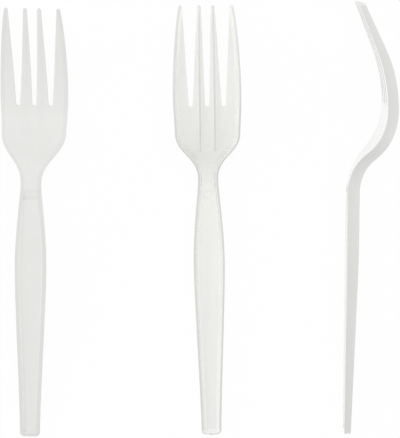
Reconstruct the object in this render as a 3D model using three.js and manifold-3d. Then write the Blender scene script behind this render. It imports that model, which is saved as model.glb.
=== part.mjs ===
// Three disposable plastic forks of one pattern, laid side by side as a set:
// one face up, one face down and one on its edge. Millimetres, +Z up.
// A fork's own frame: Y runs from the handle's end to the tips, Z = 0 is the handle's top.

import * as THREE from 'three';
import { mergeVertices } from 'three/addons/utils/BufferGeometryUtils.js';
import Module from 'manifold-3d';

const wasm = await Module();
wasm.setup();

// Lengths along the fork
const forkLength = 155;
const headRun = 67.5;          // from the start of the neck's bend to the tips
const tineLength = 36;         // from the slots' roots to the tips
const gripToNeck = 25;         // from the handle's widest place to the start of the bend
const neckOffset = 5.7;        // narrowest place, past the start of the bend
const shoulderOffset = 22.5;   // where the shoulders end, past the start of the bend
const headOffset = 35.8;       // widest place of the head, past the start of the bend
const tipTaper = 24;           // stretch in which the rim gets shallower towards the tips

// Widths in plan
const endWidth = 7.2;
const gripWidth = 11.18;
const neckWidth = 7.16;
const shoulderWidth = 23;
const headWidth = 24;
const tipSpan = 19.7;
const endCornerRadius = 1.5;

// How far the plan's edge runs on along the fork on either side of each width
const endEase = 10.8;
const gripEaseIn = 12.3;
const gripEaseOut = 13.7;
const neckEaseIn = 5;
const neckEaseOut = 8.35;
const shoulderEaseIn = 7.5;
const shoulderEaseOut = 2.6;
const headEaseIn = 5.7;
const headEaseOut = 8;
const tipEase = 9.8;
const tipLean = 1.6;           // how much wider the outer tines are one ease below their tips

// Slots between the four tines
const slotRootRadius = 0.62;
const outerSlotOffset = 5.8;
const outerSlotMouth = 5.3;
const middleSlotMouth = 3.5;
const tipRounding = 0.9;

// Bends in the side view
const neckBendRadius = 21.2;
const heelBendRadius = 20.4;
const palmBendRadius = 57.5;
const neckDip = THREE.MathUtils.degToRad(46.6);
const tineRise = THREE.MathUtils.degToRad(21.3);

// Section: a plate with a rim that hangs down from its edge
const plateThickness = 1.2;
const rimThickness = 1;
const endDepth = 2.3;
const handleDepth = 4.1;
const neckDepth = 4.3;
const palmDepth = 3.7;
const tineDepth = 3.5;
const tipDepth = 1.8;
const tipWall = 1;

// Ribs under the two middle tines
const ribWidth = 0.8;
const ribOffset = 2.6;
const ribDrop = 0.95;
const ribRun = 51.7;           // from the ribs' lower ends to the tips

// Sunk panel on the handle's top
const panelMargin = 1.3;
const panelDepth = 0.45;
const panelRamp = 3;
const panelPastBend = 3.6;

// Round mark under the neck, left by an ejector pin
const pinMarkDiameter = 2.2;
const pinMarkHeight = 0.3;
const pinMarkBack = 0.2;       // behind the start of the bend

// Broken-off gate at the middle of the handle's end
const gateDiameter = 1.1;
const gateHeight = 1;
const gateReach = 0.45;

// Layout of the set: where the handles' ends lie, measured from the face-down fork's
const faceUpLeft = 66.1;
const faceUpBack = 0.7;
const onEdgeRight = 47.9;
const onEdgeForward = 1.1;
const faceUpTurn = -1.3;       // degrees in plan
const faceDownTurn = 0.8;

const layout = [
  { name: 'fork_face_up', roll: 0, x: -faceUpLeft, y: -faceUpBack, turn: faceUpTurn },
  { name: 'fork_face_down', roll: 180, x: 0, y: 0, turn: faceDownTurn },
  { name: 'fork_on_edge', roll: -90, x: onEdgeRight, y: onEdgeForward, turn: 0 },
];

const plastic = { color: 0xeeeeea, roughness: 0.42, metalness: 0 };

// Drawing values
const arcSteps = 6;
const curveSteps = 9;
const roundSides = 20;
const overrun = 3;
const smallestCorner = 0.15;
const shortestPiece = 0.001;
const mergeDistance = 0.00001;
const flankLean = 0.35;        // how far a line drawn further in slides up the shoulder's slope

const bendStart = forkLength - headRun;
const slotRootAt = forkLength - tineLength;
const gripAt = bendStart - gripToNeck;
const neckAt = bendStart + neckOffset;
const shoulderAt = bendStart + shoulderOffset;
const headAt = bendStart + headOffset;
const panelTop = bendStart + panelPastBend;
const tipBase = forkLength - tipRounding;

// The right-hand edge in plan, from the middle of the handle's end up to the outer tine
function edgePath(inset, top) {
  const corner = Math.max(endCornerRadius - inset, smallestCorner);
  const slide = flankLean * inset;
  const stops = [
    { width: endWidth, at: inset + corner, after: endEase },
    { width: gripWidth, at: gripAt, before: gripEaseIn, after: gripEaseOut },
    { width: neckWidth, at: neckAt + slide, before: neckEaseIn, after: neckEaseOut },
    { width: shoulderWidth, at: shoulderAt + slide, before: shoulderEaseIn, after: shoulderEaseOut },
    { width: headWidth, at: headAt, before: headEaseIn, after: headEaseOut },
    { width: tipSpan, at: top, before: tipEase, lean: tipLean },
  ];
  const path = new THREE.Path();
  const endHalf = endWidth / 2 - inset;
  path.moveTo(0, inset);
  path.lineTo(endHalf - corner, inset);
  path.quadraticCurveTo(endHalf, inset, endHalf, inset + corner);
  for (let i = 1; i < stops.length; i += 1) {
    const from = stops[i - 1];
    const to = stops[i];
    const fromHalf = from.width / 2 - inset;
    const toHalf = to.width / 2 - inset;
    const lean = to.lean ?? 0;
    path.bezierCurveTo(
      fromHalf, from.at + from.after,
      toHalf + lean, to.at - to.before,
      toHalf, to.at,
    );
  }
  return path;
}

// A rounded tine tip between two edges
function addTip(path, fromX, toX) {
  const crown = tipBase + (4 / 3) * tipRounding;
  path.bezierCurveTo(fromX, crown, toX, crown, toX, tipBase);
}

// The right half of the whole outline: edge, outer tine, slot, middle tine, middle slot
function outlineHalf() {
  const path = edgePath(0, tipBase);
  const rootCentre = slotRootAt + slotRootRadius;
  const outerSlotRight = outerSlotOffset + outerSlotMouth / 2;
  const outerSlotLeft = outerSlotOffset - outerSlotMouth / 2;
  addTip(path, tipSpan / 2, outerSlotRight);
  path.lineTo(outerSlotOffset + slotRootRadius, rootCentre);
  path.absarc(outerSlotOffset, rootCentre, slotRootRadius, 0, -Math.PI, true);
  path.lineTo(outerSlotLeft, tipBase);
  addTip(path, outerSlotLeft, middleSlotMouth / 2);
  path.lineTo(slotRootRadius, rootCentre);
  path.absarc(0, rootCentre, slotRootRadius, 0, -Math.PI / 2, true);
  return path;
}

// The same edge drawn further in and closed straight across at the top
function insetHalf(inset, top) {
  const path = edgePath(inset, top);
  path.lineTo(0, top);
  return path;
}

// A right half and its mirror image as one closed shape
function mirroredShape(half) {
  const right = half.getPoints(curveSteps);
  const left = right.slice(1, -1).reverse().map((point) => new THREE.Vector2(-point.x, point.y));
  return new THREE.Shape([...right, ...left]);
}

// The top face in the side view: handle, neck bend, heel bend, palm bend and tines
function topPath() {
  const neckCentre = new THREE.Vector2(bendStart, -neckBendRadius);
  const dipNormal = new THREE.Vector2(Math.sin(neckDip), Math.cos(neckDip));
  const heelCentre = dipNormal.clone().multiplyScalar(neckBendRadius + heelBendRadius).add(neckCentre);
  const palmCentre = new THREE.Vector2(heelCentre.x, heelCentre.y - heelBendRadius + palmBendRadius);
  const down = -Math.PI / 2;
  const path = new THREE.Path();
  path.moveTo(-overrun, 0);
  path.lineTo(gripAt, 0);
  path.lineTo(bendStart, 0);
  path.absarc(neckCentre.x, neckCentre.y, neckBendRadius, -down, -down - neckDip, true);
  path.absarc(heelCentre.x, heelCentre.y, heelBendRadius, down - neckDip, down, false);
  path.absarc(palmCentre.x, palmCentre.y, palmBendRadius, down, down + tineRise, false);
  const tineStart = path.currentPoint;
  const tipReach = forkLength + overrun - tineStart.x;
  path.lineTo(tineStart.x + tipReach, tineStart.y + tipReach * Math.tan(tineRise));
  return path;
}

// Points along the top face, each with the direction that points to the underside
function topStations() {
  const stations = [];
  for (const curve of topPath().curves.filter((piece) => piece.getLength() > shortestPiece)) {
    const steps = curve.isEllipseCurve ? 2 * arcSteps : 1;
    for (let i = stations.length ? 1 : 0; i <= steps; i += 1) {
      const point = curve.getPoint(i / steps);
      const heading = curve.getTangent(i / steps);
      stations.push({ point, under: new THREE.Vector2(heading.y, -heading.x) });
    }
  }
  return stations;
}

const stations = topStations();

// A value that runs straight between stops along the fork
function along(stops, y) {
  const last = stops.findIndex((stop) => y < stop.at);
  if (last === 0) {
    return stops[0].value;
  }
  if (last < 0) {
    return stops[stops.length - 1].value;
  }
  const from = stops[last - 1];
  const to = stops[last];
  return THREE.MathUtils.mapLinear(y, from.at, to.at, from.value, to.value);
}

// How far the rim hangs below the top face
function rimDepth(y) {
  return along([
    { at: 0, value: endDepth },
    { at: gripAt, value: handleDepth },
    { at: bendStart, value: neckDepth },
    { at: shoulderAt, value: palmDepth },
    { at: slotRootAt, value: palmDepth },
    { at: forkLength - tipTaper, value: tineDepth },
    { at: forkLength, value: tipDepth },
  ], y);
}

// How far the plate is sunk below the top of its rim
function plateDrop(y) {
  return along([
    { at: panelTop - panelRamp, value: panelDepth },
    { at: panelTop, value: 0 },
  ], y);
}

// The stations, with one more at each end of the panel's ramp
function rampStations() {
  const extra = [panelTop - panelRamp, panelTop].map((y) => stationAt(y));
  return [...stations, ...extra].sort((a, b) => a.point.x - b.point.x);
}

// A station in between, at a given place along the fork
function stationAt(y) {
  const next = stations.findIndex((station) => station.point.x > y);
  const from = stations[next - 1];
  const to = stations[next];
  const share = (y - from.point.x) / (to.point.x - from.point.x);
  return {
    point: from.point.clone().lerp(to.point, share),
    under: from.under.clone().lerp(to.under, share).normalize(),
  };
}

// A band of the side view between two depths below the top face
function bandShape(list, upper, lower) {
  const offset = (station, depth) => station.under.clone().multiplyScalar(depth).add(station.point);
  const top = list.map((station) => offset(station, upper(station.point.x)));
  const bottom = list.map((station) => offset(station, lower(station.point.x)));
  return new THREE.Shape([...bottom, ...top.reverse()]);
}

// Turns a closed geometry into a solid that can be cut and joined
function toSolid(geometry) {
  geometry.deleteAttribute('normal');
  geometry.deleteAttribute('uv');
  const merged = mergeVertices(geometry, mergeDistance);
  return new wasm.Manifold(new wasm.Mesh({
    numProp: 3,
    vertProperties: new Float32Array(merged.attributes.position.array),
    triVerts: new Uint32Array(merged.index.array),
  }));
}

function toGeometry(solid) {
  const mesh = solid.getMesh();
  const geometry = new THREE.BufferGeometry();
  geometry.setAttribute('position', new THREE.BufferAttribute(mesh.vertProperties, 3));
  geometry.setIndex(new THREE.BufferAttribute(mesh.triVerts, 1));
  geometry.computeVertexNormals();
  return geometry;
}

// A plan shape as a tall prism
function planPrism(shape, bottom, top) {
  const geometry = new THREE.ExtrudeGeometry(shape, { depth: top - bottom, bevelEnabled: false });
  geometry.translate(0, 0, bottom);
  return toSolid(geometry);
}

// A side-view shape as a prism across the fork
function sidePrism(shape, left, right) {
  const geometry = new THREE.ExtrudeGeometry(shape, { depth: right - left, bevelEnabled: false });
  const across = new THREE.Matrix4().makeBasis(
    new THREE.Vector3(0, 1, 0),
    new THREE.Vector3(0, 0, 1),
    new THREE.Vector3(1, 0, 0),
  );
  geometry.applyMatrix4(across);
  geometry.translate(left, 0, 0);
  return toSolid(geometry);
}

// An upright round peg between two heights
function roundPeg(diameter, bottom, top) {
  const peg = new THREE.CylinderGeometry(diameter / 2, diameter / 2, top - bottom, roundSides);
  peg.rotateX(Math.PI / 2);
  peg.translate(0, 0, (bottom + top) / 2);
  return peg;
}

const side = headWidth / 2 + overrun;
const lowest = -neckBendRadius - heelBendRadius - neckDepth;
const plateUnder = (y) => plateThickness + plateDrop(y);

// The full-depth blank: the side view's band trimmed to the plan's outline
function blank() {
  const outline = planPrism(mirroredShape(outlineHalf()), lowest, overrun);
  const band = sidePrism(bandShape(stations, () => 0, rimDepth), -side, side);
  return band.intersect(outline);
}

// The hollow under the plate, with the two ribs left standing in it
function pocket() {
  const belowRim = (y) => rimDepth(y) + overrun;
  const ribUnder = (y) => plateUnder(y) + ribDrop;
  const ribStart = forkLength - ribRun;
  const ribStations = stations.filter((station) => station.point.x > ribStart);
  const ribShape = bandShape([stationAt(ribStart), ...ribStations], () => 0, ribUnder);
  const plan = planPrism(mirroredShape(insetHalf(rimThickness, forkLength - tipWall)), lowest, overrun);
  const band = sidePrism(bandShape(rampStations(), plateUnder, belowRim), -side, side);
  return [-ribOffset, ribOffset].reduce((hollow, centre) => {
    const rib = sidePrism(ribShape, centre - ribWidth / 2, centre + ribWidth / 2);
    return hollow.subtract(rib);
  }, band.intersect(plan));
}

// The space above the sunk panel, which ramps up into the neck
function panel() {
  const panelStations = rampStations().filter((station) => station.point.x <= panelTop);
  const sideView = bandShape(panelStations, () => -overrun, plateDrop);
  const plan = mirroredShape(insetHalf(panelMargin, forkLength - tipWall));
  return sidePrism(sideView, -side, side).intersect(planPrism(plan, lowest, 2 * overrun));
}

// The pin mark, standing out below the plate
function pinMark() {
  const at = bendStart - pinMarkBack;
  const mark = roundPeg(pinMarkDiameter, -plateUnder(at) - pinMarkHeight, -plateThickness / 2);
  mark.translate(0, at, 0);
  return toSolid(mark);
}

// The gate, a small round stub halfway down the end of the rim
function gate() {
  const bottom = -(endDepth + gateHeight) / 2;
  const stub = roundPeg(gateDiameter, bottom, bottom + gateHeight);
  stub.translate(0, gateDiameter / 2 - gateReach, 0);
  return toSolid(stub);
}

function buildFork() {
  return blank().subtract(pocket()).subtract(panel()).add(pinMark()).add(gate());
}

// Centre of gravity of a closed mesh, summed over the tetrahedra between its faces and the origin
function centreOfGravity(geometry) {
  const { position } = geometry.attributes;
  const corners = [new THREE.Vector3(), new THREE.Vector3(), new THREE.Vector3()];
  const centre = new THREE.Vector3();
  let total = 0;
  for (let i = 0; i < geometry.index.count; i += 3) {
    corners.forEach((corner, k) => corner.fromBufferAttribute(position, geometry.index.getX(i + k)));
    const [a, b, c] = corners;
    const share = a.dot(b.clone().cross(c)) / 6;
    centre.addScaledVector(a.clone().add(b).add(c), share / 4);
    total += share;
  }
  return centre.divideScalar(total);
}

// The pitch that sets a rolled fork down on the two low points on either side of its centre of gravity
function restPitch(points, centre) {
  const hull = [];
  const sorted = [...points].sort((a, b) => a.y - b.y || a.z - b.z);
  for (const point of sorted) {
    while (hull.length > 1 && isAbove(hull[hull.length - 2], hull[hull.length - 1], point)) {
      hull.pop();
    }
    hull.push(point);
  }
  const next = hull.findIndex((point) => point.y > centre.y);
  const from = hull[next - 1];
  const to = hull[next];
  return -Math.atan2(to.z - from.z, to.y - from.y);
}

// Whether a hull point lies on or above the line between its neighbours
function isAbove(before, point, after) {
  const rise = (point.y - before.y) * (after.z - before.z);
  const run = (point.z - before.z) * (after.y - before.y);
  return rise <= run;
}

// One fork of the set, rolled, set down on the ground and turned a little in plan
function layFork(geometry, place) {
  const mesh = new THREE.Mesh(geometry, new THREE.MeshStandardMaterial(plastic));
  mesh.name = place.name;
  const roll = THREE.MathUtils.degToRad(place.roll);
  const turn = THREE.MathUtils.degToRad(place.turn);
  const rolled = new THREE.Matrix4().makeRotationY(roll);
  const { position } = geometry.attributes;
  const points = [];
  for (let i = 0; i < position.count; i += 1) {
    points.push(new THREE.Vector3().fromBufferAttribute(position, i).applyMatrix4(rolled));
  }
  const pitch = restPitch(points, centreOfGravity(geometry).applyMatrix4(rolled));
  const pitched = new THREE.Matrix4().makeRotationX(pitch);
  const lowest = Math.min(...points.map((point) => point.applyMatrix4(pitched).z));
  mesh.rotation.set(pitch, roll, turn, 'ZXY');
  mesh.position.set(place.x, place.y, -lowest);
  return mesh;
}

// The set stands on the ground with its origin under the middle of its box
const forkGeometry = toGeometry(buildFork());
const forkSet = new THREE.Group();
for (const place of layout) {
  forkSet.add(layFork(forkGeometry.clone(), place));
}
const middle = new THREE.Box3().setFromObject(forkSet, true).getCenter(new THREE.Vector3());
forkSet.position.set(-middle.x, -middle.y, 0);

export default forkSet;
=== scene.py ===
import math

import bmesh
import bpy
import numpy as np
from mathutils import Matrix, Vector
from mathutils.geometry import interpolate_bezier


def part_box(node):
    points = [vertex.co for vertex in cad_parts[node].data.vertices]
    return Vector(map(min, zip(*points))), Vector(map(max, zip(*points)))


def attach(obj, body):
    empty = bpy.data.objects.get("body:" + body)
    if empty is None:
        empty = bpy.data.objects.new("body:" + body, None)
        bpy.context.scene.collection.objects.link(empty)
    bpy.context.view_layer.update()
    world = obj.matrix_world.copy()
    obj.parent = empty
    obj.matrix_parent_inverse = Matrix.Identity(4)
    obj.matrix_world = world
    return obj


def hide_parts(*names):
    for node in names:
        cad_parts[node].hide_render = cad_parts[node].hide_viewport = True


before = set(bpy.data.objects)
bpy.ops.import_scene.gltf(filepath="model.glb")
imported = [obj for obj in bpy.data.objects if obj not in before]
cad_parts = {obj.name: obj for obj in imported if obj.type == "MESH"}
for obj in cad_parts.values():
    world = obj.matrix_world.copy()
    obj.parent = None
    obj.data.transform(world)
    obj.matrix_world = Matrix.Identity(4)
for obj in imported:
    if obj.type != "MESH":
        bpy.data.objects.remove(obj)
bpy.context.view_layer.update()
print("frame loaded:", sorted(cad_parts))


# the moulded fork, in mm, handle along +Y from its end at 0, top of the handle at height 0
forkShape = {
    "length": 155.0,
    "endCorner": 1.5,
    # half width, place along the fork, straight run before and after, lean of the curve coming in
    "widthStops": [
        (3.6, 1.5, 0.0, 10.8, 0.0),
        (5.59, 62.5, 12.3, 13.7, 0.0),
        (3.58, 93.2, 5.0, 8.35, 0.0),
        (11.5, 110.0, 7.5, 2.6, 0.0),
        (12.0, 123.3, 5.7, 8.0, 0.0),
        (9.85, 154.1, 9.8, 0.0, 1.6),
    ],
    # side view: straight handle, then bends as radius and turn in degrees, then straight tines
    "bendStart": 87.5,
    "bends": [(21.2, -46.6), (20.4, 46.6), (57.5, 21.3)],
    "headBlend": (90, 102),             # here the handle's columns turn into the head's
    "plate": 1.2,
    "rimTop": 0.9,
    "rimRoot": (1.15, 0.75),            # wall at the plate, on the handle and at the tips
    "rimEdge": (0.8, 0.5),              # and at its free edge
    "rimThins": 125,                    # the wall thins from here to the tips
    "rimDepths": [
        (0.0, 2.3), (62.5, 4.1), (87.5, 4.3), (110.0, 3.7), (119.0, 3.7), (131.0, 3.5), (155.0, 1.8),
    ],
    "slotRoot": 119.0,
    "slotRadius": 0.76,
    "slotDraft": 0.35,                  # the root leans towards the tips on the underside
    "slotOffset": 5.8,
    "slotMouths": (3.5, 5.3),           # middle slot, outer slots
    "tipStart": 154.1,
    "tipRound": 0.93,                   # 1 would close the tips to a point
    "tipFill": 0.2,                     # the plate thickens towards the tips
    "tipFillRun": (149, 154),
    "ribOffset": 2.6,
    "ribWidth": 0.56,
    "ribTip": (2.45, 0.42),             # where the rib ends on the tip, and how wide
    "ribDrop": 0.95,
    "ribStart": 103.3,
    "ribSide": 4.0,                     # inner corners nearer the middle line are the ribs'
    "pocketCorner": 0.8,
    "pocketRows": (2.1, 2.9),           # first two rows of the pocket's floor
    "floorGap": 0.5,                    # room for the fillet beside the pocket's floor
    "floorEnd": 118.0,
    "panelStart": 1.85,
    "panelMargin": 1.4,
    "panelDepth": 0.45,
    "panelBand": (0.3, 0.6),            # depths that count as the panel's floor
    "panelRamp": (88.1, 91.1),
    "panelSteps": (0.12, 0.06),         # the ramp starts and ends with a small step
    "sharpFrom": 35,                    # degrees from which an edge is rounded
    # size and segments of each round, in the order they are made
    "rounds": {"rimRoot": (0.25, 3), "ribRoot": (0.2, 2), "edge": (0.12, 2), "panel": (0.09, 2)},
    "pinMark": {"at": 87.3, "width": 2.2, "proud": 0.3, "root": 0.5, "ring": 0.42, "dish": 0.14,
                "round": 0.08, "segments": 32},
    "gateStub": {"width": 1.1, "taper": 0.9, "reach": 0.45, "from": -1.65, "to": -0.65,
                 "round": 0.15, "segments": 20},
}

# how finely the fork is cut
forkGrid = {
    "outlinePoints": 48,
    "sidePoints": 40,
    "tinePoints": 30,
    "pastTips": 4,                      # the side view goes on a little past the tips
    # room before and after the rows of each stretch, in mm, and their number
    "handle": (4, 1, 33),
    "ramp": (0, 0, 5),
    "neck": (0.8, 0.7, 18),
    "palm": (0.7, 0.6, 20),
    "tines": (2, 1.2, 27),
    "rampGaps": (0.2, 0.15),            # one row close before and after the ramp
    "tipRun": 1.0,
    "tipRows": (-0.6, 0, 0.28, 0.55),   # from the start of that run
    "slotSteps": (0.5, 0.87),           # columns across half a slot, for its round root
    # degrees round the corner of the handle's end: outline, rim's inner line, pocket
    "endAngles": (20, 38, 56),
    "innerAngles": (28, 60, 75),
    "pocketAngles": (0, 30, 60),
}

# columns from the middle line out: half the middle slot, rib, outer slot, rim
middleSlot, ribColumns, outerSlot = range(0, 4), (4, 5), range(6, 13)
slotColumns = (*middleSlot, *outerSlot)
panelColumn, frameColumn, rimColumn, edgeColumn = 11, 12, 13, 14
endRows = 2                             # the rows round the handle's end come first
mergeDist = 0.001
hair, nearby, slack = 0.01, 0.05, 0.1   # for comparing places, in mm


def clamp01(value):
    return min(1.0, max(0.0, value))


def ease(low, high, value):
    t = clamp01((value - low) / (high - low))
    return t * t * (3 - 2 * t)


def alongStops(stops, y):
    return float(np.interp(y, *zip(*stops)))


def sampleOutline(shape):
    along, half = [], []
    stops = shape["widthStops"]
    for (wide, at, _, after, _), (nextWide, nextAt, before, _, lean) in zip(stops, stops[1:]):
        points = interpolate_bezier(
            Vector((wide, at, 0)), Vector((wide, at + after, 0)),
            Vector((nextWide + lean, nextAt - before, 0)), Vector((nextWide, nextAt, 0)),
            forkGrid["outlinePoints"])
        along += [p.y for p in points]
        half += [p.x for p in points]
    return np.array(along), np.array(half)


def sampleSide(shape):
    count = forkGrid["sidePoints"]
    stations = [(y, 0.0, 0.0) for y in np.linspace(0, shape["bendStart"], count)]
    for radius, turn in shape["bends"]:
        y, z, slope = stations[-1]
        bow = radius if turn > 0 else -radius
        for k in range(1, count + 1):
            now = slope + math.radians(turn) * k / count
            stations.append((y + bow * (math.sin(now) - math.sin(slope)),
                             z - bow * (math.cos(now) - math.cos(slope)), now))
    y, z, slope = stations[-1]
    for run in np.linspace(1, shape["length"] + forkGrid["pastTips"] - y, forkGrid["tinePoints"]):
        stations.append((y + run, z + run * math.tan(slope), slope))
    return np.array(stations)


outlineAlong, outlineHalf = sampleOutline(forkShape)
sideLine = sampleSide(forkShape)


def halfWidth(y):
    return float(np.interp(y, outlineAlong, outlineHalf))


def panelDrop(y):
    rampStart, rampEnd = forkShape["panelRamp"]
    if y < rampStart - hair:
        return forkShape["panelDepth"]
    if y > rampEnd + hair:
        return 0.0
    foot, head = forkShape["panelSteps"]
    return head + (forkShape["panelDepth"] - foot - head) * (rampEnd - y) / (rampEnd - rampStart)


# a line at some depth square to the side view
def offsetLine(depthAt):
    depth = np.array([depthAt(y) for y in sideLine[:, 0]])
    return (sideLine[:, 0] + depth * np.sin(sideLine[:, 2]),
            sideLine[:, 1] - depth * np.cos(sideLine[:, 2]))


def plateDepthAt(y):
    fill = forkShape["tipFill"] * ease(*forkShape["tipFillRun"], y)
    return forkShape["plate"] + panelDrop(y) + fill


rimLine = offsetLine(lambda y: alongStops(forkShape["rimDepths"], y))
plateLine = offsetLine(plateDepthAt)
ribLine = offsetLine(lambda y: forkShape["plate"] + forkShape["ribDrop"])


def topHeight(y):
    return float(np.interp(y, sideLine[:, 0], sideLine[:, 1]))


def heightOn(line, y):
    return float(np.interp(y, *line))


# how far the slots have opened, 0 to 1, and the half widths of the middle and outer slots
def slotHalves(y):
    root, radius = forkShape["slotRoot"], forkShape["slotRadius"]
    opening = clamp01((y - root - radius) / (forkShape["tipStart"] - root - radius))
    return opening, *(radius + (mouth / 2 - radius) * opening for mouth in forkShape["slotMouths"])


def columnPlaces(y):
    half = halfWidth(y)
    frameEdge = half - forkShape["panelMargin"]
    opening, middle, outer = slotHalves(y)
    ribOffset, ribWidth = forkShape["ribOffset"], forkShape["ribWidth"]
    offset = forkShape["slotOffset"]
    tipAt, tipWidth = forkShape["ribTip"]
    ribAt = ribOffset + (tipAt - ribOffset) * opening ** 3
    ribHalf = (ribWidth + (tipWidth - ribWidth) * opening ** 3) / 2
    near, far = forkGrid["slotSteps"]
    inHead = [0, near * middle, far * middle, middle, ribAt - ribHalf, ribAt + ribHalf,
              offset - outer, offset - far * outer, offset - near * outer, offset,
              offset + near * outer, offset + far * outer, offset + outer]
    squeeze = min(1.0, frameEdge / inHead[-1])
    head = ease(*forkShape["headBlend"], y)
    inner = [frameEdge * k / frameColumn * (1 - head) + place * squeeze * head
             for k, place in enumerate(inHead)]
    return inner + [half - forkShape["rimTop"], half]


def rimWall(kind, y):
    thick, thin = forkShape[kind]
    return thick + (thin - thick) * ease(forkShape["rimThins"], forkShape["length"], y)


def rowPlaces(shape, grid):
    def stretch(name, start, end):
        before, after, count = grid[name]
        return np.linspace(start + before, end - after, count)

    rampStart, rampEnd = shape["panelRamp"]
    beforeRamp, afterRamp = grid["rampGaps"]
    ribStart, slotRoot, tip = shape["ribStart"], shape["slotRoot"], shape["length"]
    tipRun = tip - grid["tipRun"]
    return [shape["endCorner"], shape["panelStart"],
            *stretch("handle", 0, rampStart), rampStart - beforeRamp,
            *stretch("ramp", rampStart, rampEnd), rampEnd + afterRamp,
            *stretch("neck", rampEnd, ribStart), ribStart,
            *stretch("palm", ribStart, slotRoot), slotRoot + shape["slotRadius"],
            *stretch("tines", slotRoot, tipRun), *(tipRun + step for step in grid["tipRows"]), tip]


sheetRows = rowPlaces(forkShape, forkGrid)
rootRow = endRows + sheetRows.index(forkShape["slotRoot"] + forkShape["slotRadius"])


# the two rows around the handle's end follow its rounded corner
def endRow(inner):
    corner = forkShape["endCorner"]
    straight = forkShape["widthStops"][0][0] - corner
    radius = corner - forkShape["rimTop"] if inner else corner
    angles = forkGrid["innerAngles" if inner else "endAngles"]
    places = [(straight * k / frameColumn, corner - radius) for k in range(frameColumn)]
    for angle, reach in zip(angles, (radius, radius, corner)):
        a = math.radians(angle)
        places.append((straight + reach * math.sin(a), corner - reach * math.cos(a)))
    return places


# half the fork's outline as a flat grid with the slots left out, then mirrored
def makeSheet(shape):
    sheet = bmesh.new()
    column = sheet.verts.layers.int.new("column")
    rowLayer = sheet.verts.layers.int.new("row")
    lastRow = len(sheetRows) + endRows - 1
    bmesh.ops.create_grid(sheet, x_segments=edgeColumn, y_segments=lastRow, size=1)
    for v in sheet.verts:
        k = round((v.co.x + 1) / 2 * edgeColumn)
        row = round((v.co.y + 1) / 2 * lastRow)
        v[column] = k
        v[rowLayer] = row
        if row < endRows:
            x, y = endRow(row == 1)[k]
        else:
            y = sheetRows[row - endRows]
            x = columnPlaces(y)[k]
            if row == rootRow and k in slotColumns:
                aside = x - (shape["slotOffset"] if k in outerSlot else 0)
                y -= math.sqrt(max(0, shape["slotRadius"] ** 2 - aside ** 2))    # round the root
        v.co = (x, y, 0)
    opened = []
    for f in sheet.faces:
        columns = {v[column] for v in f.verts}
        inSlot = columns <= set(middleSlot) or columns <= set(outerSlot)
        if inSlot and min(v.co.y for v in f.verts) > shape["slotRoot"] - slack:
            opened.append(f)
    bmesh.ops.delete(sheet, geom=opened, context="FACES")
    bmesh.ops.mirror(sheet, geom=sheet.verts[:] + sheet.edges[:] + sheet.faces[:],
                     axis="X", merge_dist=mergeDist)
    bmesh.ops.remove_doubles(sheet, verts=sheet.verts[:], dist=mergeDist)
    bmesh.ops.recalc_face_normals(sheet, faces=sheet.faces[:])
    return sheet, column, rowLayer


def madeOf(result, kind):
    return [g for g in result["geom"] if isinstance(g, kind)]


# puts a point of the underside on the rim's inner wall, which tapers towards its free edge
def placeUnder(v, row, k, kind):
    side = math.copysign(1, v.co.x)
    root = forkShape["rimRoot"][0]
    if row == 1 and k <= rimColumn:
        wall = forkShape[kind][0]
        radius = forkShape["pocketCorner"]
        centre = Vector((forkShape["widthStops"][0][0] - root - radius, root + radius))
        radius += root - wall
        angle = math.radians(forkGrid["pocketAngles"][max(0, k - panelColumn)])
        x = centre.x * min(1, k / panelColumn) + radius * math.sin(angle)
        v.co.x, v.co.y = side * x, centre.y - radius * math.cos(angle)
    elif row > 1:
        floorRows = forkShape["pocketRows"]
        if row < endRows + len(floorRows) and k < edgeColumn:
            v.co.y = floorRows[row - endRows]
        y = v.co.y
        inside = halfWidth(y) - rimWall(kind, y)
        if k == rimColumn:
            v.co.x = side * inside
        elif k < rimColumn and y < forkShape["floorEnd"]:
            v.co.x *= min(1, (inside - forkShape["floorGap"]) / columnPlaces(y)[frameColumn])


def makeFork(shape):
    fork, column, rowLayer = makeSheet(shape)
    upper = fork.verts[:]
    plate = bmesh.ops.extrude_face_region(fork, geom=fork.faces[:], use_keep_orig=True)
    for v in madeOf(plate, bmesh.types.BMVert):
        placeUnder(v, v[rowLayer], v[column], "rimRoot")
        if v[rowLayer] == rootRow and v[column] in slotColumns:
            v.co.y += shape["slotDraft"]
        v.co.z = heightOn(plateLine, v.co.y)
    for v in upper:
        sunk = v[column] <= panelColumn and v.co.y > shape["panelStart"] - hair
        v.co.z = topHeight(v.co.y) - (panelDrop(v.co.y) if sunk else 0)
    # rim and ribs go down from the underside of the plate
    deep = []
    for f in madeOf(plate, bmesh.types.BMFace):
        columns = {v[column] for v in f.verts}
        isRim = columns == {rimColumn, edgeColumn} or min(v[rowLayer] for v in f.verts) == 0
        isRib = columns == set(ribColumns) and f.calc_center_median().y > shape["ribStart"]
        if isRim or isRib:
            deep.append(f)
    edges = dict.fromkeys(e for f in deep for e in f.edges)
    verts = dict.fromkeys(v for f in deep for v in f.verts)
    lowered = bmesh.ops.extrude_face_region(fork, geom=[*deep, *edges, *verts])
    for v in madeOf(lowered, bmesh.types.BMVert):
        placeUnder(v, v[rowLayer], v[column], "rimEdge")
        y = v.co.y
        v.co.z = heightOn(rimLine, y)
        if v[column] in ribColumns and y > shape["ribStart"] - hair:
            v.co.z = max(v.co.z, heightOn(ribLine, y))
    fork.normal_update()
    bmesh.ops.recalc_face_normals(fork, faces=fork.faces[:])
    print("fork blank:", len(fork.verts), "verts")
    roundEdges(fork, shape)
    narrowTips(fork, shape)
    return fork


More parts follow.
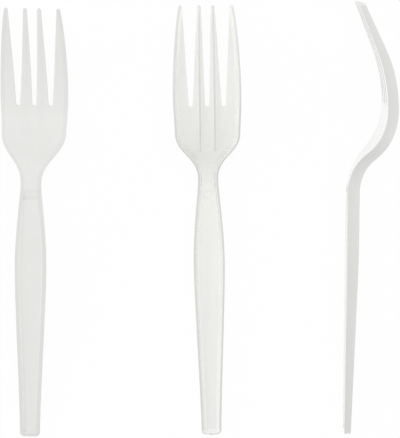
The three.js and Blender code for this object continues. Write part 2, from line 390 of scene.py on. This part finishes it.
# which of the rounds a sharp edge gets
def edgeKind(e, shape):
    if len(e.link_faces) != 2 or e.calc_face_angle() <= math.radians(shape["sharpFrom"]):
        return None
    x, y, z = (e.verts[0].co + e.verts[1].co) / 2
    onPanel = (topHeight(y) - z < shape["panelBand"][1]
               and shape["endCorner"] - slack < y < shape["panelRamp"][1]
               and halfWidth(y) - abs(x) > shape["rimTop"])
    if onPanel:
        return "panel"
    if e.is_convex:
        return "edge"
    return "ribRoot" if abs(x) < shape["ribSide"] and y > shape["ribStart"] - slack else "rimRoot"


def roundOff(mesh, edges, size, segments, **limits):
    bmesh.ops.bevel(mesh, geom=edges, offset=size, offset_type="OFFSET", segments=segments,
                    profile=0.5, affect="EDGES", material=-1, **limits)


def roundEdges(fork, shape):
    for kind, (size, segments) in shape["rounds"].items():
        fork.normal_update()
        edges = [e for e in fork.edges if edgeKind(e, shape) == kind]
        roundOff(fork, edges, size, segments, clamp_overlap=False, loop_slide=True)
        print("rounded", kind, len(edges))
    bmesh.ops.dissolve_degenerate(fork, dist=hair / 2, edges=fork.edges[:])
    bmesh.ops.recalc_face_normals(fork, faces=fork.faces[:])


# narrows each tine to a round at its tip
def narrowTips(fork, shape):
    start, end = shape["tipStart"], shape["length"]
    places = columnPlaces(start)
    innerTine = places[middleSlot[-1]], places[outerSlot[0]]
    outerTine = places[outerSlot[-1]], places[edgeColumn]
    for v in fork.verts:
        if v.co.y > start:
            t = (v.co.y - start) / (end - start)
            sides = innerTine if abs(v.co.x) < shape["slotOffset"] else outerTine
            centre = math.copysign(sum(sides) / 2, v.co.x)
            v.co.x = centre + (v.co.x - centre) * math.sqrt(1 - (shape["tipRound"] * t) ** 2)


# the small round mark under the neck and the stub at the handle's end
def addMarks(fork, shape):
    mark = shape["pinMark"]
    radius, tall = mark["width"] / 2, mark["proud"] + mark["root"]
    face = heightOn(plateLine, mark["at"])
    made = bmesh.ops.create_cone(fork, cap_ends=True, segments=mark["segments"],
                                 radius1=radius, radius2=radius, depth=tall)
    bmesh.ops.translate(fork, verts=made["verts"],
                        vec=(0, mark["at"], face - mark["proud"] + tall / 2))
    under = min({f for v in made["verts"] for f in v.link_faces},
                key=lambda f: f.calc_center_median().z)
    edge = list(under.edges)
    bmesh.ops.inset_region(fork, faces=[under], thickness=mark["ring"], depth=0)
    bmesh.ops.translate(fork, verts=list(under.verts), vec=(0, 0, mark["dish"]))
    roundOff(fork, edge + list(under.edges), mark["round"], 2, clamp_overlap=True)
    stub = shape["gateStub"]
    radius, tall = stub["width"] / 2, stub["to"] - stub["from"]
    made = bmesh.ops.create_cone(fork, cap_ends=True, segments=stub["segments"],
                                 radius1=radius, radius2=radius * stub["taper"], depth=tall)
    bmesh.ops.translate(fork, verts=made["verts"],
                        vec=(0, radius - stub["reach"], (stub["to"] + stub["from"]) / 2))
    caps = dict.fromkeys(e for v in made["verts"] for e in v.link_edges
                         if abs(e.verts[0].co.z - e.verts[1].co.z) < hair)
    roundOff(fork, list(caps), stub["round"], 2, clamp_overlap=True)


# how pale the plastic is along the fork, as stops of place and tone: its own white with painted light
# and shade;
# thick rims and ribs are painted greyer and fillets and thin walls paler, standing in for light
# passing through the plastic
paintedToneStops = {
    # top face: small steps of painted light and shade along it, with a painted highlight on the
    # palm's bend
    "top": [(0, 0.80), (85, 0.815), (100, 0.80), (110, 0.81), (115, 0.835), (119, 0.82), (155, 0.80)],
    "topRim": [(0, 0.07), (85, 0.065), (105, 0.035)],       # painted shade taken off above the rim
    # underside: painted light towards the neck, greyer again on the palm and tines
    "under": [(0, 0.845), (80, 0.915), (92, 0.955), (110, 0.86), (130, 0.83)],
    "wallTop": [(0, 0.67), (80, 0.70)],                     # painted shade on the outer wall of the rim
    "wallEdge": [(0, 0.70), (80, 0.755)],
    # painted shade on the free edges of the rim and the ribs
    "rimEdge": [(0, 0.67), (120, 0.69), (155, 0.78)],
    "ribEdge": [(103, 0.74), (110, 0.64), (130, 0.68), (155, 0.78)],
    "fillet": [(0, 0.09), (95, 0.09), (105, 0.12)],         # painted light added in the inner corners, which lie in shade
    # painted shadow deep in the slots, fading towards the tips
    "slotWall": [(119, 0.48), (128, 0.66), (136, 0.80)],
    "slotEdge": [(119, 0.87), (135, 0.85), (150, 0.83)],    # painted light on the thin edge on the underside
}

# single painted tones, and small steps of painted light and shade added or taken off
paintedToneSpots = {
    # painted light on the thin round roots of the slots
    "slotRoot": 0.97,
    "tip": 0.83,
    # the pin mark's ring and dish, paler than the plate around them
    "pinRing": 0.99,
    "pinDish": 0.96,
    "panelWall": (0.16, 0.03),          # painted light added on the walls of the sunk panel, left and right
    "panelEnd": 0.022,                  # painted light added on the panel just before the ramp
    "ramp": 0.015,                      # painted shade taken off on the ramp itself
    "rampFoot": 0.05,                   # painted shade taken off under the foot of the ramp
    "ribOnTop": 0.012,                  # painted shade taken off above the ribs
}

# how near a point is to a form to take its painted tone, in mm
paintedToneReach = {
    "skin": 0.06,                       # rounded edge that isn't yet the wall, or the face
    "endGap": 0.05,                     # the handle's end counts as its outer wall
    "slotWall": 0.03,
    "slotEdge": (0.13, 0.07),           # aside from the slot, up from the underside
    "slotEdgeEnd": 1,                   # this far before the tips
    "tip": 0.4,
    "rimEdge": (0.7, 0.25),             # in from the outline, up from the rim's free edge
    "ribEdge": (0.24, 0.4),             # aside from the rib's middle, below the plate
    "ribBody": (0.4, 0.3),              # the same for the part that takes no glow
    "ribFade": (0.4, 1.0),              # the line above a rib fades out between these
    "ribComesIn": 12,                   # and gains over this run
    "panelEndRun": 6,
    "panelWalls": (0.02, 0.43),         # depths between the frame and the floor
    "panelWallRun": (3, 0.5),           # from the handle's end, and before the ramp
    "rampFoot": (0.5, 1.2),             # past the foot of the ramp, and how far it fades
    "noRib": 9.0,
}


# depth under the top, the plate's and the rim's own depth, distance from the outline and a rib
def measure(shape, x, y, z):
    top = topHeight(y)
    gap = min(halfWidth(y) - abs(x), y + paintedToneReach["endGap"])
    ribGap = abs(abs(x) - shape["ribOffset"])
    return top - z, top - heightOn(plateLine, y), top - heightOn(rimLine, y), gap, ribGap


def onFace(y, depth, plateDepth):
    return depth < (panelDrop(y) + plateDepth) / 2


def paintedSlotTone(shape, x, y, depth, plateDepth):
    skin, offset = paintedToneReach["skin"], shape["slotOffset"]
    onWall = skin < depth < plateDepth - skin
    opening, middle, outer = slotHalves(y)
    if opening > 0:
        aside = min(abs(abs(x) - middle), abs(abs(abs(x) - offset) - outer))
        edgeWide, edgeTall = paintedToneReach["slotEdge"]
        edgeEnd = shape["tipStart"] - paintedToneReach["slotEdgeEnd"]
        # painted shadow on the slot walls, painted light on their thin edges and round roots
        if aside < paintedToneReach["slotWall"] and onWall:
            return alongStops(paintedToneStops["slotWall"], y)
        if aside < edgeWide and depth > plateDepth - edgeTall and y < edgeEnd:
            return alongStops(paintedToneStops["slotEdge"], y)
    lean = shape["slotDraft"] * clamp01(depth / plateDepth)
    fromRoot = y - shape["slotRoot"] - shape["slotRadius"] - lean
    rootGap = min(math.hypot(beside, fromRoot) for beside in (x, abs(x) - offset))
    if fromRoot < nearby and abs(rootGap - shape["slotRadius"]) < skin and onWall:
        return paintedToneSpots["slotRoot"]
    return None


def paintedFaceTone(shape, x, y, depth, gap, ribGap):
    rampStart, rampEnd = shape["panelRamp"]
    margin = shape["panelMargin"]
    wallTop, wallFoot = paintedToneReach["panelWalls"]
    wallStart, beforeRamp = paintedToneReach["panelWallRun"]
    # the top face's tone, with painted shade above the ribs and on the ramp, and painted light before
    # the ramp and on the panel's walls
    paintedTone = alongStops(paintedToneStops["top"], y)
    comesIn = ease(shape["ribStart"], shape["ribStart"] + paintedToneReach["ribComesIn"], y)
    paintedTone -= paintedToneSpots["ribOnTop"] * ((1 - ease(*paintedToneReach["ribFade"], ribGap)) * comesIn)
    if y < rampStart - nearby and gap > margin:
        paintedTone += paintedToneSpots["panelEnd"] * ease(rampStart - paintedToneReach["panelEndRun"], rampStart, y)
    if gap > margin - slack:
        if wallTop < depth < wallFoot and wallStart < y < rampStart - beforeRamp:
            left, right = paintedToneSpots["panelWall"]
            paintedTone += right if x > 0 else left
        if rampStart - nearby < y < rampEnd + nearby:
            paintedTone -= paintedToneSpots["ramp"]
    return paintedTone


def paintedToneAt(shape, x, y, z):
    depth, plateDepth, rimDepth, gap, ribGap = measure(shape, x, y, z)
    mark = shape["pinMark"]
    # the pin mark's ring and dish are paler than the plate
    if math.hypot(x, y - mark["at"]) < mark["width"] / 2 + hair and depth > plateDepth + hair:
        onRing = depth > plateDepth + mark["proud"] - slack
        return paintedToneSpots["pinRing" if onRing else "pinDish"]
    # painted shade on the rim's outer wall, from its top to its free edge
    if gap < paintedToneReach["skin"] and depth > hair and y < shape["tipStart"]:
        atTop, atEdge = (alongStops(paintedToneStops[name], y) for name in ("wallTop", "wallEdge"))
        return atTop + (atEdge - atTop) * clamp01(depth / rimDepth)
    inSlot = paintedSlotTone(shape, x, y, depth, plateDepth)
    if inSlot is not None:
        return inSlot
    if onFace(y, depth, plateDepth):
        return paintedFaceTone(shape, x, y, depth, gap, ribGap)
    if y > shape["tipStart"] - paintedToneReach["tip"]:
        return paintedToneSpots["tip"]
    # painted shade on the free edges of the ribs and the rim
    ribWide, ribTall = paintedToneReach["ribEdge"]
    if ribGap < ribWide and y > shape["ribStart"] - slack and depth > plateDepth + ribTall:
        return alongStops(paintedToneStops["ribEdge"], y)
    rimWide, rimTall = paintedToneReach["rimEdge"]
    if depth > rimDepth - rimTall and gap < rimWide:
        return alongStops(paintedToneStops["rimEdge"], y)
    # the underside's tone, with a painted shade line under the foot of the ramp
    past, fade = paintedToneReach["rampFoot"]
    foot = 1 - clamp01(abs(y - shape["panelRamp"][0] - past) / fade)
    return alongStops(paintedToneStops["under"], y) - paintedToneSpots["rampFoot"] * foot


# what the plastic's nodes read at each point of the fork: its tone with painted light and shade, and
# the gaps that place the painted rim shade and corner light
def addPaintedTones(fork, shape):
    layers = fork.verts.layers
    paintedTone, rimGap, ribGap, rimShade, fillet, grip = (layers.float.new(name) for name in (
        "toneWithPaintedShading", "rimGap", "ribGap", "rimShade", "filletGlow", "gripPanel"))
    own = layers.float_vector.new("ownPlace")
    bodyWide, bodyTall = paintedToneReach["ribBody"]
    floorTop, floorFoot = shape["panelBand"]
    for v in fork.verts:
        x, y, z = v.co
        depth, plateDepth, _, gap, fromRib = measure(shape, x, y, z)
        v[paintedTone] = paintedToneAt(shape, x, y, z)
        v[rimGap] = gap
        v[ribGap] = fromRib if y > shape["ribStart"] - slack else paintedToneReach["noRib"]
        onRib = v[ribGap] < bodyWide and depth > plateDepth + bodyTall
        # painted shade band above the rim on the top face, and painted light in the inner corners of
        # the underside
        if gap > paintedToneReach["skin"] and onFace(y, depth, plateDepth):
            v[rimShade] = alongStops(paintedToneStops["topRim"], y)
        elif (gap > paintedToneReach["rimEdge"][0] and depth > plateDepth - nearby and not onRib
              and y < shape["tipStart"] - paintedToneReach["tip"]):
            v[fillet] = alongStops(paintedToneStops["fillet"], y)
        v[grip] = float(floorTop < depth < floorFoot and y < shape["panelRamp"][0] + slack)
        v[own] = v.co / 1000


# how each fork lies: roll about its length, lean end to end, turn on the table, in degrees
forkPoses = {
    "fork_face_up": {"roll": 0.0, "lean": 7.0289, "turn": -1.3},
    "fork_face_down": {"roll": 180.0, "lean": 0.0, "turn": 0.8},
    "fork_on_edge": {"roll": -90.0, "lean": 4.1621, "turn": 0.0},
}


def layFork(fork, node, pose, plastic):
    laid = fork.copy()
    turn = Matrix.Identity(4)
    for name, axis in (("turn", "Z"), ("lean", "X"), ("roll", "Y")):
        turn = turn @ Matrix.Rotation(math.radians(pose[name]), 4, axis)
    turn = turn @ Matrix.Scale(0.001, 4)                    # mm to m
    bmesh.ops.transform(laid, matrix=turn, verts=laid.verts[:])
    low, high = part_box(node)
    corners = np.array([v.co for v in laid.verts])
    mine = (Vector(corners.min(0)), Vector(corners.max(0)))
    shift = (low + high - mine[0] - mine[1]) / 2
    shift.z = low.z - mine[0].z                             # down on the table
    bmesh.ops.translate(laid, verts=laid.verts[:], vec=shift)
    mesh = bpy.data.meshes.new(node + "_moulding")
    laid.to_mesh(mesh)
    laid.free()
    for polygon in mesh.polygons:
        polygon.use_smooth = True
    piece = bpy.data.objects.new(node + "_moulding", mesh)
    bpy.context.collection.objects.link(piece)
    mesh.materials.append(plastic)
    even = piece.modifiers.new("even shading", "WEIGHTED_NORMAL")
    even.keep_sharp = True
    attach(piece, "root")
    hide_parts(node)
    print("laid", node, "tris", sum(len(p.vertices) - 2 for p in mesh.polygons))


def mathNode(tree, operation, *values):
    node = tree.nodes.new("ShaderNodeMath")
    node.operation = operation
    for socket, value in zip(node.inputs, values):
        if isinstance(value, (int, float)):
            socket.default_value = value
        else:
            tree.links.new(value, socket)
    return node.outputs[0]


# white moulded plastic, smooth on the faces and finely grained in the grip panel; its base colour
# carries the painted light and shade
plasticLook = {
    "tint": (0.999, 1.0, 0.974),
    "ior": 1.49,
    "coat": 1.0,
    "coatRoughness": 0.04,
    "roughness": (0.13, 0.19),          # least and most, with the grain
    "gripRoughness": 0.08,              # added on the grip panel
    "palest": 0.98,
    # noise scale, detail and stretch, then the lowest and highest share of the tone
    "streaks": {"scale": 900, "detail": 3, "stretch": (1, 0.04, 1), "share": (0.992, 1.006)},
    "clouds": {"scale": 60, "detail": 2, "stretch": (1, 1, 1), "share": (0.99, 1.008)},
    "grain": {"scale": 2600, "detail": 2, "stretch": (1, 1, 1)},
    "gripGrain": {"scale": 3800, "detail": 1, "stretch": (1, 1, 1)},
    "noiseSpan": (0.3, 0.7),
    # mm over which the painted shade band above the rim and the painted light in the inner corners
    # fade out
    "rimBand": (0.9, 1.8),
    "rimGlow": (1.2, 2.3),
    "ribGlow": (0.35, 1.0),
    "ribGlowShare": 0.8,
    "bump": {"strength": 0.25, "distance": 0.00001, "grainShare": 0.15},
}


def makePlastic(look):
    material = bpy.data.materials.new("moulded_white_plastic")
    material.use_nodes = True
    tree = material.node_tree
    nodes, links = tree.nodes, tree.links
    shader = nodes["Principled BSDF"]
    shader.inputs["IOR"].default_value = look["ior"]
    shader.inputs["Coat Weight"].default_value = look["coat"]
    shader.inputs["Coat Roughness"].default_value = look["coatRoughness"]

    def attribute(name, output="Fac"):
        node = nodes.new("ShaderNodeAttribute")
        node.attribute_name = name
        return node.outputs[output]

    def ramp(value, span, low, high):
        node = nodes.new("ShaderNodeMapRange")
        node.interpolation_type = "SMOOTHSTEP"
        links.new(value, node.inputs["Value"])
        for name, number in zip(("From Min", "From Max", "To Min", "To Max"), (*span, low, high)):
            node.inputs[name].default_value = number
        return node.outputs["Result"]

    place = attribute("ownPlace", "Vector")

    def noise(kind):
        mapping = nodes.new("ShaderNodeMapping")
        mapping.inputs["Scale"].default_value = look[kind]["stretch"]
        links.new(place, mapping.inputs["Vector"])
        node = nodes.new("ShaderNodeTexNoise")
        node.inputs["Scale"].default_value = look[kind]["scale"]
        node.inputs["Detail"].default_value = look[kind]["detail"]
        links.new(mapping.outputs["Vector"], node.inputs["Vector"])
        return node.outputs["Fac"]

    # faint flow lines along the mould, and clouds
    streaks, clouds = (ramp(noise(kind), look["noiseSpan"], *look[kind]["share"])
                       for kind in ("streaks", "clouds"))
    # painted shade above the rim and painted light in the inner corners go into the base colour
    rimGap = attribute("rimGap")
    rimBand = mathNode(tree, "MULTIPLY", attribute("rimShade"), ramp(rimGap, look["rimBand"], 1, 0))
    corner = mathNode(tree, "MAXIMUM", ramp(rimGap, look["rimGlow"], 1, 0),
                      ramp(attribute("ribGap"), look["ribGlow"], look["ribGlowShare"], 0))
    glow = mathNode(tree, "MULTIPLY", attribute("filletGlow"), corner)
    plain = mathNode(tree, "ADD", mathNode(tree, "SUBTRACT", attribute("toneWithPaintedShading"), rimBand), glow)
    flow = mathNode(tree, "MULTIPLY", streaks, clouds)
    toneWithPaintedShading = mathNode(tree, "MINIMUM", mathNode(tree, "MULTIPLY", plain, flow), look["palest"])
    shade = nodes.new("ShaderNodeCombineColor")
    for socket in shade.inputs:
        links.new(toneWithPaintedShading, socket)
    tinted = nodes.new("ShaderNodeMix")
    tinted.data_type = "RGBA"
    tinted.blend_type = "MULTIPLY"
    factor, colourA, colourB = (tinted.inputs[k] for k in (0, 6, 7))    # sockets of the colour mix
    factor.default_value = 1.0
    colourB.default_value = (*look["tint"], 1)
    links.new(shade.outputs[0], colourA)
    links.new(tinted.outputs[2], shader.inputs["Base Color"])

    grip, grain = attribute("gripPanel"), noise("grain")
    rough = mathNode(tree, "ADD", ramp(grain, look["noiseSpan"], *look["roughness"]),
                     mathNode(tree, "MULTIPLY", grip, look["gripRoughness"]))
    links.new(rough, shader.inputs["Roughness"])
    bump = nodes.new("ShaderNodeBump")
    bump.inputs["Strength"].default_value = look["bump"]["strength"]
    bump.inputs["Distance"].default_value = look["bump"]["distance"]
    height = mathNode(tree, "ADD", mathNode(tree, "MULTIPLY", grain, look["bump"]["grainShare"]),
                      mathNode(tree, "MULTIPLY", grip, noise("gripGrain")))
    links.new(height, bump.inputs["Height"])
    links.new(bump.outputs["Normal"], shader.inputs["Normal"])
    return material


print("modelling the fork")
forkMesh = makeFork(forkShape)
addMarks(forkMesh, forkShape)
bmesh.ops.recalc_face_normals(forkMesh, faces=forkMesh.faces[:])
addPaintedTones(forkMesh, forkShape)
plastic = makePlastic(plasticLook)
for node, pose in forkPoses.items():
    layFork(forkMesh, node, pose, plastic)
forkMesh.free()


# mixes two shaders so that the rays named see the second one
def showTo(tree, rayKinds, plain, shown, share=1.0):
    rays = tree.nodes.new("ShaderNodeLightPath")
    seen = rays.outputs[rayKinds[0]]
    for kind in rayKinds[1:]:
        seen = mathNode(tree, "MAXIMUM", seen, rays.outputs[kind])
    both = tree.nodes.new("ShaderNodeMixShader")
    tree.links.new(mathNode(tree, "MULTIPLY", seen, share), both.inputs[0])
    tree.links.new(plain.outputs[0], both.inputs[1])
    tree.links.new(shown.outputs[0], both.inputs[2])
    return both.outputs[0]


# the table under the forks, near white, which still takes their soft shadow
tableLook = {"size": 3.0, "colour": (0.96, 0.96, 0.96), "roughness": 0.9, "glow": 0.95}


def makeTable(look):
    plane = bmesh.new()
    bmesh.ops.create_grid(plane, x_segments=1, y_segments=1, size=look["size"])
    mesh = bpy.data.meshes.new("table_top")
    plane.to_mesh(mesh)
    plane.free()
    table = bpy.data.objects.new("table_top", mesh)
    bpy.context.collection.objects.link(table)
    material = bpy.data.materials.new("table_white")
    material.use_nodes = True
    tree = material.node_tree
    shader = tree.nodes["Principled BSDF"]
    shader.inputs["Base Color"].default_value = (*look["colour"], 1)
    shader.inputs["Roughness"].default_value = look["roughness"]
    shader.inputs["Specular IOR Level"].default_value = 0.0
    white = tree.nodes.new("ShaderNodeEmission")
    surface = showTo(tree, ("Is Camera Ray", "Is Glossy Ray", "Is Transmission Ray"),
                     shader, white, look["glow"])
    tree.links.new(surface, tree.nodes["Material Output"].inputs["Surface"])
    mesh.materials.append(material)


# an even white room, a large soft lamp above the tines and one low on the left
lightSetup = {
    "room": 0.80,
    "lamps": {
        "top_lamp": {"share": 0.53, "at": (0.0, 0.75, 1.35), "size": 1.2},
        "side_lamp": {"share": 0.8, "at": (-1.3, 0.05, 0.25), "size": 1.0},
    },
}


def makeLight(setup):
    world = bpy.data.worlds.new("white_room")
    bpy.context.scene.world = world
    world.use_nodes = True
    tree = world.node_tree
    room, white = tree.nodes["Background"], tree.nodes.new("ShaderNodeBackground")
    for light in (room, white):
        light.inputs["Color"].default_value = (1, 1, 1, 1)
    room.inputs["Strength"].default_value = setup["room"]
    surface = showTo(tree, ("Is Camera Ray", "Is Glossy Ray"), room, white)
    tree.links.new(surface, tree.nodes["World Output"].inputs["Surface"])
    for name, look in setup["lamps"].items():
        lamp = bpy.data.lights.new(name, "AREA")
        lamp.shape = "DISK"
        lamp.size = look["size"]
        at = Vector(look["at"])
        lamp.energy = look["share"] * math.pi * at.length_squared
        thing = bpy.data.objects.new(name, lamp)
        thing.location = at
        thing.rotation_euler = at.to_track_quat("Z", "Y").to_euler()
        thing.visible_glossy = False                        # no hot spot on the bends
        bpy.context.collection.objects.link(thing)


# straight down with a small tilt, as the picture was taken; focal length and height in pixels
cameraSetup = {
    "at": (0.00125, 0.05458, 0.64),
    "aim": (0.00114, 0.00076, 0.0),
    "focal": 1778.1,
    "tall": 438,
    "sensor": 36,
}


def makeCamera(setup):
    lens = bpy.data.cameras.new("top_camera")
    lens.sensor_width = setup["sensor"]
    lens.lens = setup["sensor"] * setup["focal"] / setup["tall"]
    camera = bpy.data.objects.new("top_camera", lens)
    back = (Vector(setup["at"]) - Vector(setup["aim"])).normalized()
    right = Vector((0, 1, 0)).cross(back).normalized()
    turn = Matrix((right, back.cross(right), back)).transposed().to_4x4()
    camera.matrix_world = Matrix.Translation(setup["at"]) @ turn
    bpy.context.collection.objects.link(camera)
    bpy.context.scene.camera = camera


makeTable(tableLook)
makeLight(lightSetup)
makeCamera(cameraSetup)
bpy.context.scene.view_settings.view_transform = "Standard"
print("table, light and camera set")
